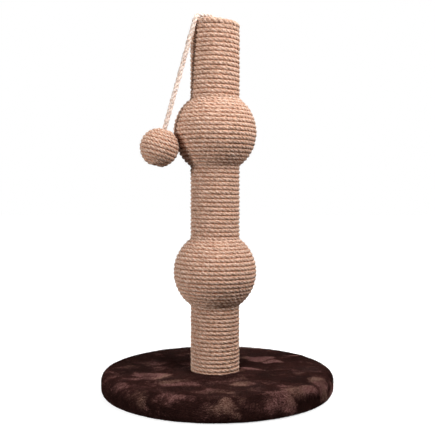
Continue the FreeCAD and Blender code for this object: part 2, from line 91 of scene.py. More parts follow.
# The twisted ropes. A turn is pressed flat against its neighbours.
ROPE_HALF_WIDTH = 0.545  # of the distance from one turn to the next
ROPE_HALF_HEIGHT = 2.65 * MM
TOY_ROPE_HALF_HEIGHT = 2.2 * MM
ROPE_STRANDS_OUT = 0.38  # of the half size: from the middle of the rope to that of a strand
CORD_STRANDS_OUT = 0.40
ROPE_LAY = 19.5 * MM  # along which a strand goes once round its rope
TOY_ROPE_LAY = 16.0 * MM
CORD_LAY = 20.0 * MM
ROPE_STEP = 1.3 * MM  # from one ring of the mesh to the next
TOY_ROPE_STEP = 1.1 * MM
CORD_STEP = 0.8 * MM
TOY_MAP_ROW = 0.14  # metres of rope in a row of its map
CORD_MAP_ROW = 0.04

# The top rope goes on above its first turn, then its end lies over the disc beside the cord.
TAIL_TURNS = 0.625
TAIL_RISE = 5.0 * MM  # how far along its turn the rope starts to leave it
TAIL_LIFT = 0.9 * MM  # of the rope off its first turn by then
TOP_FREE = 120 * MM  # along which the top rope has no turn above it
TOP_WIDER = 0.2  # by how much of its width it is wider than elsewhere to begin with
TOP_WIDE = 130 * MM  # by where it isn't any more; it gets narrower over the second half of this
TAIL_ROUTE = (
    (0.0120, 0.0050, 0.4738),
    (0.0080, 0.0010, 0.4738),
    (0.0040, -0.0055, 0.4745),
    (-0.0010, -0.0100, 0.4768),
    (-0.0070, -0.0128, 0.4770),
    (-0.0130, -0.0128, 0.4762),
    (-0.0205, -0.0140, 0.4746),
)

# The cord's route in its upright plane: distance from the post's axis, height.
RIM_AZIMUTH = math.radians(40.0)
ARCH_POINTS = (
    (0.0, 0.471),
    (0.0, 0.4775),
    (0.0055, 0.4818),
    (0.0195, 0.4823),
    (0.0280, 0.4804),
)
ARCH_LAST_RUN = 0.0075
PIVOT_GAP = 0.0033
SEAM = 0.007  # from the upper pivot to where the two cord pieces meet
KNOT_DEPTH = 0.0107  # from the toy's middle down to its knot

CAMERA_PLACE = (0.0032, -1.0, 0.2657)
CAMERA_PITCH = math.radians(-2.29)
CAMERA_LENS = 64.12

# ---------------------------------------- camera


def make_camera():
    data = bpy.data.cameras.new("camera")
    data.lens = CAMERA_LENS
    data.sensor_width = 36.0
    data.clip_start = 0.01
    data.clip_end = 50.0
    camera = bpy.data.objects.new("camera", data)
    camera.location = CAMERA_PLACE
    camera.rotation_euler = (math.radians(90) + CAMERA_PITCH, 0, 0)
    bpy.context.scene.collection.objects.link(camera)
    bpy.context.scene.camera = camera


# ---------------------------------------- meshes


def unit(vectors):
    return vectors / np.linalg.norm(vectors, axis=-1, keepdims=True)


def lengths_along(points):
    steps = np.linalg.norm(np.diff(points, axis=0), axis=1)
    return np.concatenate([[0.0], np.cumsum(steps)])


def resampled(points, count):
    """So many points, evenly spaced along the line through the given ones."""
    travelled = lengths_along(points)
    even = np.linspace(0, travelled[-1], count)
    return np.stack([np.interp(even, travelled, points[:, axis]) for axis in range(3)], 1)


def evenly(points, step):
    return resampled(points, round(lengths_along(points)[-1] / step) + 1)


def noise_at(points, size, seed):
    """Smooth noise from -1 to 1 at each point, with features of one size."""
    shifted = np.asarray(points, float) / size + (seed * 17.3, seed * 5.1, seed * 9.7)
    values = np.array([noise.noise(point) for point in shifted.reshape(-1, 3)])
    return values.reshape(shifted.shape[:-1])


def noise_along(distances, size, seed):
    line = np.zeros((len(distances), 3))
    line[:, 0] = distances
    return noise_at(line, size, seed)


def corner_uv(*corners):
    """Places on the map for the corners of quads, from arrays of across and up per corner."""
    return np.stack([np.stack(corner, -1) for corner in corners], 2).reshape(-1, 2)


def new_piece(name, points, faces, material, uv, values):
    """A smooth mesh object. faces is a list of index arrays, one for each number of corners.

    uv has a place for each corner, and values the point attributes that the material reads.
    """
    mesh = bpy.data.meshes.new(name)
    corners = np.concatenate([group.ravel() for group in faces])
    counts = np.concatenate([np.full(len(group), group.shape[1]) for group in faces])
    mesh.vertices.add(len(points))
    mesh.vertices.foreach_set("co", np.asarray(points, np.float32).ravel())
    mesh.loops.add(len(corners))
    mesh.loops.foreach_set("vertex_index", corners.astype(np.int32))
    mesh.polygons.add(len(counts))
    starts = np.concatenate([[0], np.cumsum(counts)[:-1]])
    mesh.polygons.foreach_set("loop_start", starts.astype(np.int32))
    mesh.update(calc_edges=True)
    mesh.shade_smooth()
    for label, numbers in values.items():
        numbers = np.asarray(numbers, np.float32)
        flat = numbers.ndim == 1
        made = mesh.attributes.new(label, "FLOAT" if flat else "FLOAT_VECTOR", "POINT")
        made.data.foreach_set("value" if flat else "vector", numbers.ravel())
    layer = mesh.uv_layers.new(name=BAKE_MAP)
    layer.uv.foreach_set("vector", np.asarray(uv, np.float32).ravel())
    mesh.materials.append(material)
    piece = bpy.data.objects.new(name, mesh)
    bpy.context.scene.collection.objects.link(piece)
    return piece


# ---------------------------------------- twisted rope

LOBE_ANGLES = np.radians((-60.0, -46.0, -28.0, -9.0, 9.0, 28.0, 46.0))
STRANDS = 3
AROUND = STRANDS * len(LOBE_ANGLES)
ROW_MARGIN = 0.02  # of a row of the map, left empty on either side


def lobed_section(strands_out):
    """Angles, radii and crests (0 in a groove, 1 on a strand) of three strands laid together.

    The middle of a strand is strands_out of the rope's radius away from the rope's middle.
    """
    strand_radius = 1 - strands_out
    inner = strands_out * np.sin(LOBE_ANGLES)
    radii = strands_out * np.cos(LOBE_ANGLES) + np.sqrt(strand_radius**2 - inner**2)
    angles = np.concatenate([LOBE_ANGLES + FULL_TURN * i / STRANDS for i in range(STRANDS)])
    crest = (radii - radii.min()) / (radii.max() - radii.min())
    return angles, np.tile(radii, STRANDS), np.tile(crest, STRANDS)


def rope_rings(points, outward, wide, high, lay, strands_out, seed):
    """Rings of a twisted rope along points, each (AROUND, 3), with what its material reads.

    outward is a direction per point, high the rope's half size that way and wide its half
    size across. The lay is right-handed, and each strand is thicker and thinner along its way.
    The material reads straight, the same point on a rope laid out straight, crest, and open,
    which is 0 between one turn and the next. It paints shade into the rope's colour where crest
    is low, and where open is low.
    """
    rng = np.random.default_rng(seed)
    travelled = lengths_along(points)
    along = unit(np.gradient(points, axis=0))
    out = unit(outward - (outward * along).sum(1, keepdims=True) * along)
    side = np.cross(along, out)
    angles, radii, crest = lobed_section(strands_out)
    # radians by which the twist runs ahead of its lay or behind it
    drift = 1.2 * noise_along(travelled, 0.05, seed + 0.3)
    drift += 0.8 * noise_along(travelled, 0.016, seed + 0.7)
    twist = FULL_TURN * travelled / lay + drift
    turned = twist[:, None] + angles
    swell = np.ones((len(points), AROUND))
    each = len(LOBE_ANGLES)
    for strand in range(STRANDS):
        thick = 1 + 0.11 * noise_along(travelled, 0.014, seed + 1.7 * strand + 0.9)
        thick += 0.14 * noise_along(travelled, 0.0045, seed + 2.3 * strand + 0.4)
        swell[:, strand * each : (strand + 1) * each] = thick[:, None]
    reach = radii * swell * (1 + 0.03 * rng.standard_normal(swell.shape))
    across = reach * np.sin(turned) * np.reshape(wide, (-1, 1))
    up = reach * np.cos(turned) * np.reshape(high, (-1, 1))
    rings = points[:, None] + across[..., None] * side[:, None] + up[..., None] * out[:, None]
    straight = np.stack(
        [
            np.cos(turned) * np.mean(high),
            np.sin(turned) * np.mean(high),
            np.broadcast_to(travelled[:, None], turned.shape),
        ],
        -1,
    )
    values = {
        "straight": straight,
        "crest": np.broadcast_to(crest, turned.shape),
        "open": np.clip(np.cos(turned), 0, 1),
    }
    return rings, values


def rope_piece(name, rings, values, material, row_length):
    """A closed tube through the rings. Its map folds the rope into rows of row_length."""
    count = len(rings)
    first = np.arange(count - 1)[:, None] * AROUND
    here = first + np.arange(AROUND)
    after = first + (np.arange(AROUND) + 1) % AROUND
    quads = np.stack([here, after, after + AROUND, here + AROUND], -1).reshape(-1, 4)
    middles = count * AROUND
    turn = np.arange(AROUND)
    next_turn = (turn + 1) % AROUND
    start_cap = np.stack([next_turn, turn, np.full(AROUND, middles)], -1)
    last = (count - 1) * AROUND
    end_cap = np.stack([last + turn, last + next_turn, np.full(AROUND, middles + 1)], -1)
    points = np.concatenate([rings.reshape(-1, 3), [rings[0].mean(0), rings[-1].mean(0)]])
    travelled = values["straight"][:, 0, 2]
    rows = math.ceil(travelled[-1] / row_length + 1e-6)
    row = np.minimum(travelled[:-1] // row_length, rows - 1)
    left = np.minimum((travelled[:-1] - row * row_length) / row_length, 1.0)
    right = np.minimum((travelled[1:] - row * row_length) / row_length, 1.0)
    used = 1 - 2 * ROW_MARGIN
    low = (row[:, None] + ROW_MARGIN + used * turn / AROUND) / rows
    high = (row[:, None] + ROW_MARGIN + used * (turn + 1) / AROUND) / rows
    left, right = (np.broadcast_to(edge[:, None], low.shape) for edge in (left, right))
    quad_uv = corner_uv((left, low), (left, high), (right, high), (right, low))
    cap_uv = np.full((2 * AROUND * 3, 2), 0.5 / rows)
    uv = np.concatenate([quad_uv, cap_uv])
    spread = {
        label: np.concatenate([numbers.reshape(count * AROUND, *numbers.shape[2:]),
                               numbers[[0, -1], 0]])
        for label, numbers in values.items()
    }
    caps = np.concatenate([start_cap, end_cap])
    piece = new_piece(name, points, [quads, caps], material, uv, spread)
    rounded = np.arange(len(quads) + len(caps)) < len(quads)
    piece.data.polygons.foreach_set("use_smooth", rounded)
    return piece


# ---------------------------------------- fibres

FIBRE_ON_MAP = 0.0015  # how much of the map a fibre takes
LONGEST_FIBRE = 6 * MM
FIBRE_SEED = 40
TOY_FIBRES = 900
PRESSED = 38 * MM  # from the toy's middle: no fibres stand off the post there

def fibre_piece(name, centres, side, lift, material, uv, values):
    """Many thin closed spikes. centres, side and lift are (fibres, stations, 3).

    Each station but the last has three corners, at plus and minus side and at lift, and the
    last is the tip. uv is one place per fibre and values one number per fibre and station.
    """
    count, stations = centres.shape[:2]
    rings = stations - 1
    body, half, rise = centres[:, :rings], side[:, :rings], lift[:, :rings]
    corners = np.stack([body + half, body - half, body + rise], 2)
    each = rings * 3 + 1
    points = np.concatenate([corners.reshape(count, -1, 3), centres[:, -1:]], 1).reshape(-1, 3)
    base = np.arange(count)[:, None, None] * each
    quads = []
    for ring in range(rings - 1):
        for corner in range(3):
            a, b = ring * 3 + corner, ring * 3 + (corner + 1) % 3
            quads.append([a, b, b + 3, a + 3])
    last = (rings - 1) * 3
    triangles = [[last, last + 1, each - 1], [last + 1, last + 2, each - 1],
                 [last + 2, last, each - 1], [2, 1, 0]]
    quads = (base + np.array(quads)).reshape(-1, 4)
    triangles = (base + np.array(triangles)).reshape(-1, 3)
    stationed = np.concatenate([np.repeat(np.arange(rings), 3), [rings]])
    spread = {
        label: numbers[:, stationed].reshape(-1, *numbers.shape[2:])
        for label, numbers in values.items()
    }
    point_uv = np.repeat(uv, each, 0)
    small = np.stack([stationed / stations, np.arange(each) / each], -1) * FIBRE_ON_MAP
    point_uv = np.clip(point_uv + np.tile(small, (count, 1)), 0, 1)
    corners_uv = np.concatenate([point_uv[quads.ravel()], point_uv[triangles.ravel()]])
    return new_piece(name, points, [quads, triangles], material, corners_uv, spread)


def loose_fibres(name, points, outward, radius, count, material, seed, bare=0.0):
    """Fine fibres that stand off a rope along points, none within bare of the toy's middle."""
    rng = np.random.default_rng(seed)
    picked = rng.integers(1, len(points) - 1, count)
    picked = picked[np.linalg.norm(points[picked] - np.array(TOY), axis=1) >= bare]
    count = len(picked)
    along = unit(points[picked + 1] - points[picked - 1])
    out = unit(outward[picked] - (outward[picked] * along).sum(1, keepdims=True) * along)
    side = np.cross(along, out)
    turned = rng.uniform(-1.3, 1.3, count)[:, None]
    away = np.cos(turned) * out + np.sin(turned) * side
    root = points[picked] + away * radius * 0.9
    sign = rng.choice([-1.0, 1.0], count)[:, None]
    start = unit(away * rng.uniform(0.15, 0.9, (count, 1)) + along * sign
                 + 0.35 * rng.standard_normal((count, 3)))
    bend = 0.6 * rng.standard_normal((count, 3))
    bend -= (bend * start).sum(1, keepdims=True) * start
    length = rng.uniform(0.3, 1.0, (count, 1)) ** 1.5 * LONGEST_FIBRE
    stations = np.linspace(0, 1, 5)[None, :, None]
    centres = root[:, None] + length[:, None] * (
        stations * start[:, None] + stations**2 * 0.5 * bend[:, None]
    )
    thick = rng.uniform(0.035, 0.07, (count, 1, 1)) * MM * (1 - 0.8 * stations)
    half = np.cross(start, away)[:, None] * thick
    rise = unit(np.cross(half, start[:, None])) * thick
    tone = rng.uniform(0, 1, (count, 1)) * np.ones((1, 5))
    where = rng.uniform(0.02, 0.98, (count, 2))
    return fibre_piece(name, centres, half, rise, material, where, {"tone": tone})


# ---------------------------------------- windings


POINTS_A_TURN = 180


def even_points(place, first, last, step):
    """Points an even step apart along place(turn), from the first turn to the last."""
    points = place(np.linspace(first, last, int((last - first) * POINTS_A_TURN) + 2))
    return resampled(points, int(lengths_along(points)[-1] / step) + 1)


def at_angle(turns, out, height):
    angle = FULL_TURN * (BACK + turns)
    return np.stack([out * np.cos(angle), out * np.sin(angle), height + 0 * angle], -1)


def down_cylinder(radius, top, bottom, turns):
    return lambda turn: at_angle(turn, radius, top + (bottom - top) * turn / turns)


def lifting_off(place, first):
    """The same winding, which comes up off its first turn towards the turn called first."""

    def lifted(turn):
        points = place(turn)
        share = np.clip(turn / first * 2 - 1, 0, 1)
        points[..., 2] += TAIL_LIFT * share * share * (3 - 2 * share)
        return points

    return lifted


def down_ball(radius, end_radius, middle, turns):
    reach = math.acos(end_radius / radius)

    def place(turn):
        latitude = reach * (1 - 2 * turn / turns)
        return at_angle(turn, radius * np.cos(latitude), middle + radius * np.sin(latitude))

    return place


def unevenly(points, outward, seed):
    """The same winding as laid by hand, its turns a little high, low, in and out."""
    heights = 0.35 * MM * noise_at(points, 0.045, 3.0)
    travelled = lengths_along(points)
    bumps = 0.18 * MM * noise_along(travelled, 0.013, seed)
    heights += 0.34 * MM * noise_along(travelled, 0.012, seed + 5.0)
    moved = points + outward * bumps[:, None]
    moved[:, 2] += heights
    return moved


def with_tail(points, outward, place, step):
    """The top winding's points and directions, with the rope's end over the disc before them."""
    way = unit(place(np.array([0.001 - TAIL_TURNS])) - place(np.array([-TAIL_TURNS])))[0]
    leaving = points[0] - way * TAIL_RISE + (0, 0, 0.6 * MM)
    tail = evenly(spline_points("tail_line", [*TAIL_ROUTE, leaving, points[0]]), step)
    normals = carried_normals(tail[::-1], outward[0])[::-1]
    return np.concatenate([tail[:-1], points]), np.concatenate([normals[:-1], outward])


def make_post_ropes(rope_look, fibre_look):
    on_tube = TUBE_RADIUS + ROPE_LIFT + ROPE_RADIUS
    round_ball = SHELL_RADIUS + ROPE_LIFT + ROPE_RADIUS
    ball_reach = math.sqrt(round_ball**2 - on_tube**2)
    foot = POST_FOOT + ROPE_LIFT + ROPE_RADIUS + FOOT_GAP
    end_run = ROPE_JOINT / 2 / (FULL_TURN * on_tube)
    lengths = [
        ("top_rope", TURNS["top"], POST_TOP - ROPE_RADIUS, UPPER_BALL + ball_reach, None),
        ("upper_ball_rope", TURNS["ball"], None, None, UPPER_BALL),
        ("middle_rope", TURNS["middle"], UPPER_BALL - ball_reach, LOWER_BALL + ball_reach, None),
        ("lower_ball_rope", TURNS["ball"], None, None, LOWER_BALL),
        ("bottom_rope", TURNS["bottom"], LOWER_BALL - ball_reach, foot, None),
    ]
    for seed, (node, turns, top, bottom, ball) in enumerate(lengths, start=1):
        if ball is None:
            place = down_cylinder(on_tube, top, bottom, turns)
            pitch = (top - bottom) / turns
        else:
            place = down_ball(round_ball, on_tube, ball, turns)
            pitch = 2 * round_ball * math.acos(on_tube / round_ball) / turns
        start = end_run
        if node == "top_rope":
            start = -TAIL_TURNS
            place = lifting_off(place, start)
        points = even_points(place, start, turns - end_run, ROPE_STEP)
        middle = np.zeros_like(points)
        middle[:, 2] = points[:, 2] if ball is None else ball
        outward = unit(points - middle)
        if node == "top_rope":
            points, outward = with_tail(points, outward, place, ROPE_STEP)
        points = unevenly(points, outward, seed)
        wide = np.full(len(points), pitch * ROPE_HALF_WIDTH)
        if node == "top_rope":
            wide *= 1 + TOP_WIDER * np.clip(2 - 2 * lengths_along(points) / TOP_WIDE, 0, 1)
        rings, values = rope_rings(
            points, outward, wide, ROPE_HALF_HEIGHT, ROPE_LAY, ROPE_STRANDS_OUT, seed
        )
        if node == "top_rope":
            # no turn lies above the top rope's first stretch, so there it gets no painted shade
            # between turns
            free = np.clip(2 - lengths_along(points) / TOP_FREE, 0, 1)[:, None]
            values["open"] = np.maximum(values["open"], free)
        piece = rope_piece("wound_" + node, rings, values, rope_look, FULL_TURN * on_tube)
        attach(piece, "root")
        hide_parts(node)
        fuzz = loose_fibres(
            node + "_fibres", points, outward, 2.6 * MM, len(points) // 2, fibre_look,
            FIBRE_SEED + seed, bare=PRESSED,
        )
        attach(fuzz, "root")


def make_toy_winding(rope_look, fibre_look):
    radius = TOY_CORE_RADIUS + ROPE_LIFT + TOY_ROPE_RADIUS
    turns = TURNS["toy"]
    place = down_ball(radius, TOY_END_RADIUS, 0.0, turns)
    points = even_points(place, 0, turns, TOY_ROPE_STEP)
    outward = unit(points)
    points = unevenly(points, outward, 9)
    turning = np.array(UP.rotation_difference(-HANG).to_matrix())
    points = points @ turning.T + np.array(TOY)
    outward = outward @ turning.T
    pitch = 2 * radius * math.acos(TOY_END_RADIUS / radius) / turns
    rings, values = rope_rings(
        points, outward, pitch * ROPE_HALF_WIDTH, TOY_ROPE_HALF_HEIGHT, TOY_ROPE_LAY,
        ROPE_STRANDS_OUT, 9
    )
    piece = rope_piece("wound_toy_rope", rings, values, rope_look, TOY_MAP_ROW)
    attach(piece, "toy_ball")
    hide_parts("toy_ball_rope")
    fuzz = loose_fibres(
        "toy_fibres", points, outward, 2.1 * MM, TOY_FIBRES, fibre_look, FIBRE_SEED + 10
    )
    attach(fuzz, "toy_ball")


# ---------------------------------------- cord


def rim_point(out, height):
    """A point in the upright plane in which the cord comes over the rim."""
    return Vector((-out * math.cos(RIM_AZIMUTH), -out * math.sin(RIM_AZIMUTH), height))


def spline_points(name, route):
    """Points along the smooth line that has the route's points as its control points."""
    data = bpy.data.curves.new(name, "CURVE")
    data.dimensions = "3D"
    data.resolution_u = 24
    spline = data.splines.new("NURBS")
    spline.points.add(len(route) - 1)
    for point, place in zip(spline.points, route):
        point.co = (*place, 1.0)
    spline.order_u = 3
    spline.use_endpoint_u = True
    curve = bpy.data.objects.new(name, data)
    line = bpy.data.meshes.new_from_object(curve)
    points = np.array([vertex.co for vertex in line.vertices], float)
    bpy.data.objects.remove(curve)
    return points


def carried_normals(points, first):
    """A direction square to the line at each point, carried along it without twist."""
    along = unit(np.gradient(points, axis=0))
    normals = [np.array(first, float)]
    for way in along[1:]:
        normals.append(normals[-1] - normals[-1].dot(way) * way)
        normals[-1] /= np.linalg.norm(normals[-1])
    return np.array(normals)


def make_cord(cord_look):
    arch_end = UPPER_PIVOT - HANG * PIVOT_GAP
    seam = UPPER_PIVOT + HANG * SEAM
    over_rim = [Vector((0, 0, PLUG_BOTTOM))]
    over_rim += [rim_point(out, height) for out, height in ARCH_POINTS]
    over_rim += [arch_end - HANG * ARCH_LAST_RUN, arch_end, seam]
    hanging = [seam, LOWER_PIVOT, TOY + HANG * KNOT_DEPTH]
    upper = evenly(spline_points("cord_over_rim_line", over_rim), CORD_STEP)
    lower = evenly(spline_points("hanging_cord_line", hanging), CORD_STEP)
    points = np.concatenate([upper, lower[1:]])
    normals = carried_normals(points, (0, -1, 0))
    size = np.full(len(points), CORD_RADIUS)
    rings, values = rope_rings(points, normals, size, size, CORD_LAY, CORD_STRANDS_OUT, 21)
    # the cord has no turns beside it, so it gets no painted shade between turns
    values["open"] = np.ones_like(values["open"])
    split = len(upper)
    pieces = []
    for name, part in (("twisted_cord_over_rim", slice(0, split)),
                       ("twisted_hanging_cord", slice(split - 1, None))):
        own = {label: numbers[part] for label, numbers in values.items()}
        own["straight"] = own["straight"] - (0, 0, own["straight"][0, 0, 2])
        piece = rope_piece(name, rings[part], own, cord_look, CORD_MAP_ROW)
        pieces.append(piece)
    over, hanger = pieces
    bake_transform(over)
    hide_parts("cord_in_plug", "cord_over_rim", "cord_link")
    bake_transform(hanger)
    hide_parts("hanging_cord")


# ---------------------------------------- plush base

SKIN_RADIUS = 147.8 * MM
SKIN_TOP = 28.4 * MM
SKIN_EDGE = 10.5 * MM  # rounding of the upper edge
SKIN_FOOT = 9.0 * MM  # and of the lower one
SKIN_GAP = 0.3 * MM
WELL_RADIUS = 32.2 * MM  # where the plush goes down to the board round the post
WELL_ROUND = 4.0 * MM
HEM_END = 112 * MM
HEM_TOP = 1.0 * MM
BOLT_HOLE = 4.5 * MM
SKIN_STEP = 1.3 * MM
SKIN_COLUMNS = 720
SHIFT = 3.2 * MM
SKEW = 1.8 * MM

TUFTS = 126000
PILE_PIECES = 7
PILE_SEED = 77
PILE_ROW = 0.4 * MM  # from one ring where tufts may stand to the next
PILE_FOOT = 0.9 * MM  # there are no tufts below this, on the flat hem

# Where hands have brushed the pile up, its tufts lean another way, and the sheen that they catch
# there is painted into their colour as paler, redder patches. In millimetres: the middle, how far
# it goes along X, Y and Z, and how pale it is there.
PALE_PATCHES = (
    ((56, 60, 30), (17, 16, 20), 1.5),
    ((75, 41, 30), (11, 11, 20), 1.4),
    ((42, -5, 30), (11, 12, 20), 1.5),
    ((30, -80, 30), (15, 10, 20), 1.1),
    ((74, -26, 30), (9, 11, 20), 0.35),
    ((102, 76, 30), (22, 13, 20), 0.4),
    ((-85, -41, 30), (20, 24, 20), 1.0),
    ((-36, -74, 30), (20, 18, 20), 0.9),
    ((-118, -80, 30), (13, 18, 20), 0.45),
    ((9, -126, 30), (12, 14, 20), 0.35),
    ((-58, -135, 26), (19, 14, 9), 0.6),
    ((80, -122, 30), (22, 15, 12), 0.8),
    ((104, -103, 30), (22, 19, 10), 0.8),
    ((127, -75, 29), (16, 24, 11), 0.8),
    ((76, -127, 17), (24, 18, 13), 1.1),
    ((4, -148, 18), (19, 14, 11), 0.9),
    ((-91, -116, 16), (17, 17, 12), 0.7),
    ((-22, -147, 11), (15, 12, 7), 0.4),
    ((129, -72, 17), (13, 16, 9), 0.7),
    ((143, -38, 12), (12, 18, 11), 0.9),
)


def arc(centre, radius, start, end, count):
    angles = np.radians(np.linspace(start, end, count))
    return np.stack([centre[0] + radius * np.cos(angles), centre[1] + radius * np.sin(angles)], 1)


def skin_profile(step):
    """(radius, height) points up the outside of the plush, from its hem to the post's foot."""
    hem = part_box("underside_sheet")[1].x + SKIN_GAP
    corners = np.concatenate(
        [
            [(hem, 0.0)],
            arc((SKIN_RADIUS - SKIN_FOOT, SKIN_FOOT), SKIN_FOOT, -90, 0, 12),
            arc((SKIN_RADIUS - SKIN_EDGE, SKIN_TOP - SKIN_EDGE), SKIN_EDGE, 0, 90, 16),
            arc((WELL_RADIUS + WELL_ROUND, SKIN_TOP - WELL_ROUND), WELL_ROUND, 90, 180, 8),
            [(WELL_RADIUS, POST_FOOT)],
        ]
    )
    return evenly(np.pad(corners, ((0, 0), (0, 1))), step)[:, :2]


def out_of_round(points):
    """The plush as it was pulled over the board: a little to the right, and skewed."""
    share = (np.linalg.norm(points[..., :2], axis=-1) / SKIN_RADIUS) ** 2
    diagonal = np.array((math.sqrt(0.5), math.sqrt(0.5)))
    along = points[..., :2] @ diagonal / SKIN_RADIUS
    moved = points.copy()
    moved[..., 0] += SHIFT * share
    moved[..., :2] += (SKEW * along)[..., None] * diagonal
    return moved


def paleness(points):
    """How far the pile is brushed up, from 0 to 1, at points on the plush. It sets how the tufts
    lean, and how much painted sheen their colour gets.
    """
    warp = np.stack([noise_at(points, 0.022, seed) for seed in (6.0, 7.0, 8.0)], -1)
    moved = points + warp * (15 * MM, 12 * MM, 6 * MM)
    share = np.full(points.shape[:-1], -0.3)
    for middle, reach, most in PALE_PATCHES:
        away = np.linalg.norm((moved - np.array(middle) * MM) / (np.array(reach) * MM), axis=-1)
        near = np.clip((1.8 - away) / 1.4, 0, 1)
        share = np.maximum(share, (most + 0.3) * near * near * (3 - 2 * near) - 0.3)
    behind = np.clip((points[..., 1] + 10 * MM) / (70 * MM), 0, 1)
    elsewhere = 1.5 * noise_at(moved, 0.05, 4.0) * behind
    streaked = moved * (0.5, 1.0, 1.0)
    ragged = 0.75 * noise_at(streaked, 0.016, 5.0) + 0.40 * noise_at(streaked, 0.006, 4.5)
    return np.clip(np.maximum(share, elsewhere) + ragged, 0, 1)


def turned_round(profile, angles):
    """Each (outward, up) pair of the profile at each angle round the upright axis."""
    out, up = profile[:, :1], profile[:, 1:]
    level = np.broadcast_to(up, (len(profile), len(angles)))
    return np.stack([out * np.cos(angles), out * np.sin(angles), level], -1)


def make_skin(material):
    """The plush's backing: its outside, and inside it the board's own outline."""
    columns = SKIN_COLUMNS
    outer = skin_profile(SKIN_STEP)
    board_low, board_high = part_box("base_board")
    inside = board_high.x + SKIN_GAP
    inner = [
        (BOLT_HOLE, POST_FOOT),
        (BOLT_HOLE, board_high.z),
        (inside, board_high.z),
        (inside, board_low.z),
        (HEM_END, board_low.z),
        (HEM_END, HEM_TOP),
        (outer[0, 0], HEM_TOP),
    ]
    profile = np.concatenate([outer, inner])
    angles = np.arange(columns) * FULL_TURN / columns
    points = turned_round(profile, angles)
    shown = len(outer)
    slope = np.gradient(outer, axis=0)
    normals = turned_round(unit(np.stack([slope[:, 1], -slope[:, 0]], 1)), angles)
    surface = points[:shown]
    height = (
        0.20 * noise_at(surface, 0.004, 1.0)
        + 0.30 * noise_at(surface, 0.013, 2.0)
        + 0.60 * noise_at(surface, 0.04, 3.0)
    ) * MM
    calm = np.clip(surface[..., 2] / (4 * MM), 0, 1)
    moved = surface + normals * (height * calm)[..., None]
    points[:shown] = out_of_round(moved)
    rows = len(profile)
    here = np.arange(rows)[:, None] * columns + np.arange(columns)
    right = np.roll(here, -1, 1)
    above = np.roll(here, -1, 0)
    corner = np.roll(right, -1, 0)
    quads = np.stack([here, right, corner, above], -1).reshape(-1, 4)
    left, low = np.meshgrid(np.arange(columns) / columns, np.arange(rows) / rows)
    far, high = left + 1 / columns, low + 1 / rows
    uv = corner_uv((left, low), (far, low), (far, high), (left, high))
    count = rows * columns
    pale = np.zeros((rows, columns))
    pale[:shown] = paleness(surface)
    values = {"tip": np.full(count, 0.2), "tone": np.full(count, 0.4), "pale": pale.ravel()}
    piece = new_piece("plush_skin", points.reshape(-1, 3), [quads], material, uv, values)
    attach(piece, "root")
    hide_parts("plush_cover")


def make_pile(material):
    """Tufts of pile all over the plush, which lean the way that hands have brushed them."""
    count = TUFTS
    rng = np.random.default_rng(PILE_SEED)
    profile = skin_profile(PILE_ROW)
    slope = unit(np.gradient(profile, axis=0))
    first = int(np.argmax(profile[:, 1] > PILE_FOOT))
    weight = profile[first:, 0] / profile[first:, 0].sum()
    picked = first + rng.choice(len(weight), count, p=weight)
    angle = rng.uniform(0, FULL_TURN, count)
    turned = np.stack([np.cos(angle), np.sin(angle)], 1)
    radius, height = profile[picked].T
    root = np.concatenate([radius[:, None] * turned, height[:, None]], 1)
    normal = np.concatenate([slope[picked, 1:] * turned, -slope[picked, :1]], 1)
    rising = np.concatenate([slope[picked, :1] * turned, slope[picked, 1:]], 1)
    around = np.cross(normal, rising)
    pale = paleness(root)
    clump = noise_at(root, 0.0045, 9.0)
    # the angle over the surface at which a tuft is brushed, in wide swirls with smaller ones
    swirl = 1.3 * math.pi * noise_at(root, 0.09, 5.0) + 1.2 * noise_at(root, 0.02, 6.0)
    swirl += 0.2 * clump + 0.14 * rng.standard_normal(count)
    brushed = np.cos(swirl)[:, None] * rising + np.sin(swirl)[:, None] * around
    on_side = np.clip(np.abs(normal[:, :2]).max(1), 0, 1)[:, None]
    brushed = unit(brushed - 0.9 * on_side * rising)
    # tufts lie down flatter where the pile is dark, and droop towards their tips
    lean = np.radians(70 - 8 * pale + 4 * clump + 3 * rng.standard_normal(count))[:, None]
    way = np.cos(lean) * normal + np.sin(lean) * brushed
    drooped = unit(way - 0.35 * normal + 0.07 * rng.standard_normal((count, 3)))
    length = rng.uniform(3.6, 5.4, count) * MM
    length *= np.clip(0.35 + height / (16 * MM), 0, 1) * (1 - 0.3 * pale)
    length = length[:, None]
    root = out_of_round(root)
    middle = root + way * length * 0.5
    tip = middle + drooped * length * 0.5
    centres = np.stack([root - normal * 0.5 * MM, middle, tip], 1)
    centres[..., 2] = np.maximum(centres[..., 2], 0.3 * MM)
    wide = rng.uniform(0.14, 0.27, count)[:, None, None] * MM * np.array([1.0, 0.8, 0.1])[:, None]
    side = unit(np.cross(way, normal))[:, None] * wide
    lift = normal[:, None] * wide * 0.8
    tone = np.clip(0.5 + 0.35 * clump + 0.27 * rng.standard_normal(count), 0, 1)
    along = np.array([[0.0, 0.55, 1.0]]) * np.ones((count, 1))
    where = np.stack([0.002 + 0.99 * angle / FULL_TURN, picked / len(profile)], 1)
    sector = np.floor(angle / FULL_TURN * PILE_PIECES)
    same = np.ones((1, 3))
    for group in range(PILE_PIECES):
        some = sector == group
        piece = fibre_piece(
            f"plush_pile_{group + 1}", centres[some], side[some], lift[some], material,
            where[some], {"tip": along[some], "tone": tone[some, None] * same,
                          "pale": pale[some, None] * same},
        )
        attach(piece, "root")


# ---------------------------------------- materials


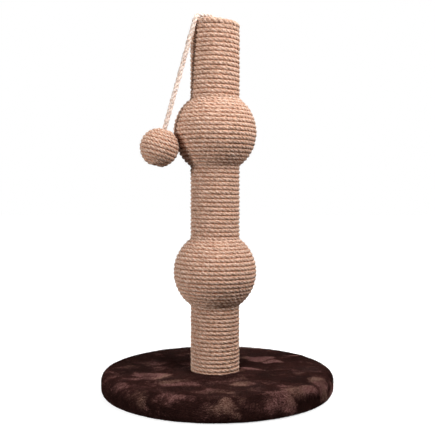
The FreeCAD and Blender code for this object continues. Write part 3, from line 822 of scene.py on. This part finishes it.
class Surface:
    """A material being built: its nodes, and its shader."""

    def __init__(self, name, roughness, **settings):
        self.material = bpy.data.materials.new(name)
        self.material.use_nodes = True
        self.tree = self.material.node_tree
        self.shader = self.tree.nodes["Principled BSDF"]
        self.shader.inputs["Roughness"].default_value = roughness
        for socket, value in settings.items():
            self.shader.inputs[socket.replace("_", " ")].default_value = value

    def add(self, kind, **inputs):
        """A node with its inputs given as numbers or as other nodes' outputs."""
        node = self.tree.nodes.new(kind)
        for name, value in inputs.items():
            self.set(node.inputs[name.replace("_", " ")], value)
        return node

    def set(self, socket, value):
        if isinstance(value, bpy.types.NodeSocket):
            self.tree.links.new(value, socket)
        else:
            socket.default_value = value

    def read(self, name, output="Fac"):
        node = self.tree.nodes.new("ShaderNodeAttribute")
        node.attribute_name = name
        return node.outputs[output]

    def place(self):
        return self.tree.nodes.new("ShaderNodeTexCoord").outputs["Object"]

    def scaled(self, vector, scale, turned=(0, 0, 0)):
        node = self.add("ShaderNodeMapping", Vector=vector, Scale=scale, Rotation=turned)
        return node.outputs["Vector"]

    def noise(self, vector, scale, detail=2.0, roughness=0.5, distortion=0.0):
        node = self.add(
            "ShaderNodeTexNoise", Vector=vector, Scale=scale, Detail=detail,
            Roughness=roughness, Distortion=distortion,
        )
        return node.outputs["Fac"]

    def cells(self, vector, scale):
        return self.add("ShaderNodeTexVoronoi", Vector=vector, Scale=scale).outputs["Color"]

    def ramp(self, factor, *stops):
        """Colours or greys at places from 0 to 1."""
        node = self.add("ShaderNodeValToRGB", Fac=factor)
        elements = node.color_ramp.elements
        while len(elements) < len(stops):
            elements.new(0.5)
        for element, (place, colour) in zip(elements, stops):
            element.position = place
            grey = isinstance(colour, float)
            element.color = (colour, colour, colour, 1) if grey else (*colour, 1)
        return node.outputs["Color"]

    def mix(self, factor, first, second, kind="MIX"):
        node = self.tree.nodes.new("ShaderNodeMix")
        node.data_type = "RGBA"
        node.blend_type = kind
        self.set(node.inputs[0], factor)
        self.set(node.inputs[6], first)
        self.set(node.inputs[7], second)
        return node.outputs[2]

    def times(self, first, second):
        """Two colours multiplied."""
        return self.mix(1.0, first, second, "MULTIPLY")

    def math(self, operation, first, second):
        node = self.tree.nodes.new("ShaderNodeMath")
        node.operation = operation
        self.set(node.inputs[0], first)
        self.set(node.inputs[1], second)
        return node.outputs[0]

    def weighed(self, first, weight, second, other_weight):
        """Two numbers added, each times its own weight."""
        return self.math("ADD", self.math("MULTIPLY", first, weight),
                         self.math("MULTIPLY", second, other_weight))

    def finish(self, colour, bump=None, strength=0.5, depth=0.2 * MM, roughness=None):
        self.set(self.shader.inputs["Base Color"], colour)
        if roughness is not None:
            self.set(self.shader.inputs["Roughness"], roughness)
        if bump is not None:
            node = self.add("ShaderNodeBump", Height=bump, Strength=strength, Distance=depth)
            self.set(self.shader.inputs["Normal"], node.outputs["Normal"])
        return self.material


def rope_material(name, dark, middle, light, groove):
    """Twisted plant fibre: fine streaks along the rope, with painted shade, browner and darker,
    in the grooves between its strands and between its turns.
    """
    made = Surface(name, 0.9, Specular_IOR_Level=0.08, Subsurface_Weight=0.4,
                   Subsurface_Scale=1.0 * MM, Subsurface_Radius=(1.0, 0.8, 0.65))
    straight = made.read("straight", "Vector")
    fine = made.noise(made.scaled(straight, (1, 1, 0.10)), 2600.0, 3.0, 0.65)
    coarse = made.noise(made.scaled(straight, (1, 1, 0.2)), 700.0, 2.0)
    cloudy = made.noise(made.scaled(straight, (0.4, 0.4, 1)), 45.0, 2.0)
    streaks = made.ramp(made.weighed(fine, 0.6, coarse, 0.4),
                        (0.34, dark), (0.5, middle), (0.66, light))
    faded = (*[0.6 * a + 0.4 * b for a, b in zip(middle, light)], 1)
    tinted = made.mix(made.ramp(cloudy, (0.35, 0.0), (0.7, 0.35)), streaks, faded)
    grain = made.noise(made.scaled(straight, (1, 1, 0.9)), 520.0, 2.0, 0.6)
    grained = made.times(tinted, made.ramp(grain, (0.36, (0.66, 0.58, 0.53)),
                                           (0.58, (1.15, 1.15, 1.15))))
    # painted shade: the groove colour darkens and browns the rope in the grooves between its
    # strands
    crest = made.ramp(made.read("crest"), (0.0, groove), (0.5, (1.0, 1.0, 1.0)))
    # painted shade: the rope darker and browner on the sides of each turn, down into the gaps
    # between one turn and the next
    between = made.ramp(made.read("open"), (0.1, (0.95, 0.65, 0.51)), (0.55, (1.0, 0.89, 0.82)),
                        (0.9, (1.0, 1.0, 1.0)))
    colour = made.times(made.times(grained, crest), between)
    return made.finish(colour, fine, 0.6, 0.25 * MM)


def fibre_material(name, dark, light):
    made = Surface(name, 0.8, Specular_IOR_Level=0.25)
    tone = made.read("tone")
    mottled = made.noise(made.place(), 600.0)
    both = made.weighed(tone, 0.7, mottled, 0.3)
    return made.finish(made.ramp(both, (0.1, dark), (0.9, light)))


def plush_material():
    """Dark brown pile, with the sheen of brushed-up pile painted into it as redder, paler colour.
    """
    made = Surface("plush", 0.9, Specular_IOR_Level=0.03, Sheen_Weight=0.04, Sheen_Roughness=0.5,
                   Sheen_Tint=(0.85, 0.45, 0.38, 1))
    place = made.place()
    tip = made.read("tip")
    tone = made.read("tone")
    dark_pile = made.ramp(tip, (0.0, (0.012, 0.0041, 0.0034)), (0.5, (0.029, 0.0100, 0.0082)),
                          (1.0, (0.050, 0.0175, 0.0148)))
    # colours of the painted sheen that brushed-up tufts catch
    reddish = made.ramp(tip, (0.0, (0.07, 0.028, 0.025)), (0.5, (0.31, 0.140, 0.124)),
                        (1.0, (0.70, 0.350, 0.315)))
    tan = made.ramp(tip, (0.0, (0.06, 0.027, 0.019)), (0.5, (0.26, 0.133, 0.100)),
                    (1.0, (0.56, 0.330, 0.250)))
    kind = made.noise(place, 26.0, 1.0)
    painted_sheen_pile = made.mix(made.ramp(kind, (0.48, 0.0), (0.60, 1.0)), reddish, tan)
    shaded = made.times(dark_pile, made.ramp(tone, (0.0, 0.7), (1.0, 1.2)))
    broad = made.ramp(made.noise(place, 36.0, 2.0), (0.35, 0.85), (0.65, 1.25))
    shaded = made.times(shaded, broad)
    # painted sheen: the pile lighter in and round the brushed-up patches
    sheen_brightened = made.times(shaded, (2.0, 2.1, 2.2, 1))
    pale = made.read("pale")
    shaded = made.mix(made.ramp(pale, (0.05, 0.0), (0.7, 1.0)), shaded, sheen_brightened)
    # painted sheen: the paler the pile, the more of its tufts are pale ones
    spots = made.noise(place, 560.0, 2.0, 0.6)
    own = made.math("ADD", made.math("MULTIPLY", tone, 0.55), spots)
    speckled = made.math("ADD", made.math("MULTIPLY", pale, 0.75), own)
    colour = made.mix(made.ramp(made.math("MULTIPLY", speckled, 0.5), (0.53, 0.0), (0.82, 1.0)),
                      shaded, painted_sheen_pile)
    fine = made.noise(place, 1500.0, 2.0)
    fibrous = made.ramp(fine, (0.3, 0.65), (0.7, 1.25))
    return made.finish(made.times(colour, fibrous), fine, 0.5, 0.4 * MM)


def felt_material(name, dark, light):
    made = Surface(name, 0.95, Specular_IOR_Level=0.15, Sheen_Weight=0.2)
    place = made.place()
    fibres = made.noise(made.scaled(place, (1, 0.3, 1)), 2200.0, 4.0, 0.7, 1.5)
    crossing = made.noise(made.scaled(place, (0.3, 1, 1)), 1800.0, 4.0, 0.7, 1.5)
    both = made.math("MULTIPLY", fibres, crossing)
    return made.finish(made.ramp(both, (0.12, dark), (0.42, light)), both, 0.8, 0.3 * MM)


def chipboard_material():
    made = Surface("chipboard", 0.8)
    place = made.place()
    flakes = made.cells(made.scaled(place, (1, 1.6, 2.2)), 330.0)
    grains = made.noise(place, 1500.0, 3.0)
    value = made.weighed(flakes, 0.7, grains, 0.3)
    colour = made.ramp(value, (0.1, (0.20, 0.12, 0.06)), (0.5, (0.42, 0.28, 0.15)),
                       (0.9, (0.62, 0.46, 0.28)))
    return made.finish(colour, grains, 0.5, 0.3 * MM)


def wood_material():
    made = Surface("pine", 0.65)
    place = made.place()
    rings = made.add("ShaderNodeTexWave", Vector=made.scaled(place, (1, 1, 0.15), (0.1, 0.2, 0)),
                     Scale=55.0, Distortion=3.0, Detail=3.0)
    rings.wave_type = "RINGS"
    grain = made.noise(made.scaled(place, (1, 1, 0.05)), 1600.0, 3.0)
    value = made.weighed(rings.outputs["Fac"], 0.6, grain, 0.4)
    colour = made.ramp(value, (0.1, (0.36, 0.20, 0.09)), (0.6, (0.62, 0.42, 0.22)),
                       (1.0, (0.72, 0.53, 0.32)))
    return made.finish(colour, grain, 0.3, 0.2 * MM)


def board_material(name, dark, light, lines):
    """Grey-brown paper board with faint slanting joints and specks."""
    made = Surface(name, 0.85)
    place = made.place()
    specks = made.noise(place, 900.0, 4.0, 0.7)
    wraps = made.add("ShaderNodeTexWave", Vector=made.scaled(place, (0.4, 0.4, 1)), Scale=lines,
                     Distortion=1.0)
    value = made.weighed(specks, 0.85, wraps.outputs["Fac"], 0.15)
    return made.finish(made.ramp(value, (0.25, dark), (0.75, light)), specks, 0.4, 0.2 * MM)


def steel_material():
    made = Surface("zinc_plated_steel", 0.35, Metallic=1.0)
    place = made.place()
    brushed = made.noise(made.scaled(place, (1, 1, 0.1)), 1400.0, 3.0)
    spots = made.noise(place, 160.0, 2.0)
    colour = made.ramp(spots, (0.3, (0.50, 0.50, 0.49)), (0.7, (0.66, 0.67, 0.69)))
    rough = made.ramp(brushed, (0.2, 0.25), (0.8, 0.5))
    return made.finish(colour, brushed, 0.2, 0.05 * MM, rough)


def dress_cad_nodes():
    """Materials of the pieces that show as they were constructed."""
    felt = felt_material("dark_felt", (0.008, 0.007, 0.007), (0.055, 0.050, 0.048))
    steel = steel_material()
    wood = wood_material()
    tube = board_material("tube_cardboard", (0.22, 0.14, 0.08), (0.44, 0.31, 0.20), 14.0)
    pulp = board_material("moulded_pulp", (0.28, 0.23, 0.17), (0.46, 0.40, 0.32), 3.0)
    knots = knot_material()
    dressed = {
        "underside_sheet": felt, "top_disc": felt,
        "base_board": chipboard_material(),
        "cover_staples": steel, "base_bolt": steel, "base_washer": steel,
        "threaded_insert": steel, "plug_nails": steel,
        "lower_plug": wood, "upper_plug": wood,
        "post_tube": tube,
        "upper_ball_front_shell": pulp, "upper_ball_back_shell": pulp,
        "lower_ball_front_shell": pulp, "lower_ball_back_shell": pulp,
        "toy_ball_core": pulp,
        "cord_knot": knots, "toy_knot": knots,
    }
    for name, material in dressed.items():
        data = frame["nodes"][name].data
        data.materials.clear()
        data.materials.append(material)


def knot_material():
    """Tied cord, seen only inside the holes of the plug and the toy."""
    made = Surface("knotted_cord", 0.85, Specular_IOR_Level=0.25)
    place = made.place()
    laid = made.add("ShaderNodeTexWave", Vector=made.scaled(place, (1, 1, 1.6), (0.4, 0.6, 0)),
                    Scale=160.0, Distortion=2.0, Detail=2.0)
    fine = made.noise(place, 2200.0, 3.0)
    value = made.weighed(laid.outputs["Fac"], 0.6, fine, 0.4)
    colour = made.ramp(value, (0.1, (0.34, 0.24, 0.18)), (0.9, (0.74, 0.62, 0.54)))
    return made.finish(colour, value, 0.8, 0.5 * MM)


# ---------------------------------------- studio

AMBIENT = 0.06
FLOOR_SIZE = 12.0
FLOOR_DROP = 0.0004  # below the object, so that the two do not share a face
FLOOR_GLOW = 0.80  # what the floor shows of itself under the object, where 1 is white
FLOOR_LIT = (0.15, 0.15, 0.15, 1)  # for light that lands on it and goes on to the object
FLOOR_SHOWN = (0.50, 0.50, 0.50, 1)

LAMPS = (
    # name, place, what it points at, size, watts
    ("key", (0.56, -0.46, 0.82), (0, 0, 0.40), 0.75, 9.6),
    ("overhead", (0.22, -0.12, 0.97), (0, 0, 0.25), 0.7, 4.6),
    ("fill", (-0.88, -0.72, 0.50), (0, 0, 0.25), 0.30, 9.0),
    ("back", (0.25, 1.10, 0.35), (0, 0, 0.22), 0.6, 4.0),
)


def area_light(name, place, target, size, watts):
    data = bpy.data.lights.new(name, "AREA")
    data.shape = "DISK"
    data.size = size
    data.energy = watts
    light = bpy.data.objects.new(name, data)
    light.location = place
    light.rotation_euler = (Vector(target) - Vector(place)).to_track_quat("-Z", "Y").to_euler()
    bpy.context.scene.collection.objects.link(light)


def seen_directly(tree):
    """1 for what the camera, glossy surfaces and clear ones see, 0 for light that lands."""
    path = tree.nodes.new("ShaderNodeLightPath")
    seen = path.outputs["Is Camera Ray"]
    for name in ("Is Glossy Ray", "Is Transmission Ray"):
        both = tree.nodes.new("ShaderNodeMath")
        both.operation = "MAXIMUM"
        tree.links.new(seen, both.inputs[0])
        tree.links.new(path.outputs[name], both.inputs[1])
        seen = both.outputs[0]
    return seen


def make_world():
    """White where it is seen, and a weak light from all round."""
    world = bpy.data.worlds.new("studio")
    world.use_nodes = True
    tree = world.node_tree
    background = tree.nodes["Background"]
    background.inputs["Color"].default_value = (1, 1, 1, 1)
    strength = tree.nodes.new("ShaderNodeMix")
    strength.data_type = "FLOAT"
    tree.links.new(seen_directly(tree), strength.inputs[0])
    strength.inputs[2].default_value = AMBIENT
    strength.inputs[3].default_value = 1.0
    tree.links.new(strength.outputs[0], background.inputs["Strength"])
    bpy.context.scene.world = world


def make_floor():
    """A pale floor that shows white away from the object, and still takes its shadow."""
    half = FLOOR_SIZE / 2
    corners = [(-half, -half, 0), (half, -half, 0), (half, half, 0), (-half, half, 0)]
    mesh = bpy.data.meshes.new("floor")
    mesh.from_pydata(corners, [], [(0, 1, 2, 3)])
    floor = bpy.data.objects.new("floor", mesh)
    floor.location.z = -FLOOR_DROP
    bpy.context.scene.collection.objects.link(floor)
    made = Surface("pale_floor", 1.0)
    tree = made.tree
    tree.nodes.remove(made.shader)
    lit = made.add("ShaderNodeBsdfDiffuse", Color=FLOOR_LIT)
    shown = made.add("ShaderNodeBsdfDiffuse", Color=FLOOR_SHOWN)
    distance = made.add("ShaderNodeVectorMath", Vector=made.place())
    distance.operation = "LENGTH"
    spread = made.ramp(distance.outputs["Value"], (0.15, FLOOR_GLOW), (0.75, 1.0))
    glow = made.add("ShaderNodeEmission", Color=spread)
    bright = tree.nodes.new("ShaderNodeAddShader")
    tree.links.new(shown.outputs[0], bright.inputs[0])
    tree.links.new(glow.outputs[0], bright.inputs[1])
    choice = tree.nodes.new("ShaderNodeMixShader")
    tree.links.new(seen_directly(tree), choice.inputs[0])
    tree.links.new(lit.outputs[0], choice.inputs[1])
    tree.links.new(bright.outputs[0], choice.inputs[2])
    tree.links.new(choice.outputs[0], tree.nodes["Material Output"].inputs["Surface"])
    mesh.materials.append(made.material)


def make_studio():
    bpy.context.scene.view_settings.view_transform = "Standard"
    make_world()
    make_floor()
    for lamp in LAMPS:
        area_light(*lamp)


# ---------------------------------------- the whole object

make_camera()
# the last colour given to each rope material is the painted shade in its grooves
rope = rope_material("rope", (0.34, 0.207, 0.150), (0.57, 0.385, 0.292), (0.69, 0.548, 0.468),
                     (0.74, 0.54, 0.44))
fibres = fibre_material("rope_fibre", (0.45, 0.29, 0.20), (0.80, 0.62, 0.50))
cord = rope_material("cord", (0.58, 0.47, 0.41), (0.70, 0.59, 0.53), (0.75, 0.65, 0.59),
                     (0.90, 0.82, 0.77))
plush = plush_material()
make_cord(cord)
make_post_ropes(rope, fibres)
make_toy_winding(rope, fibres)
make_skin(plush)
make_pile(plush)
dress_cad_nodes()
make_studio()
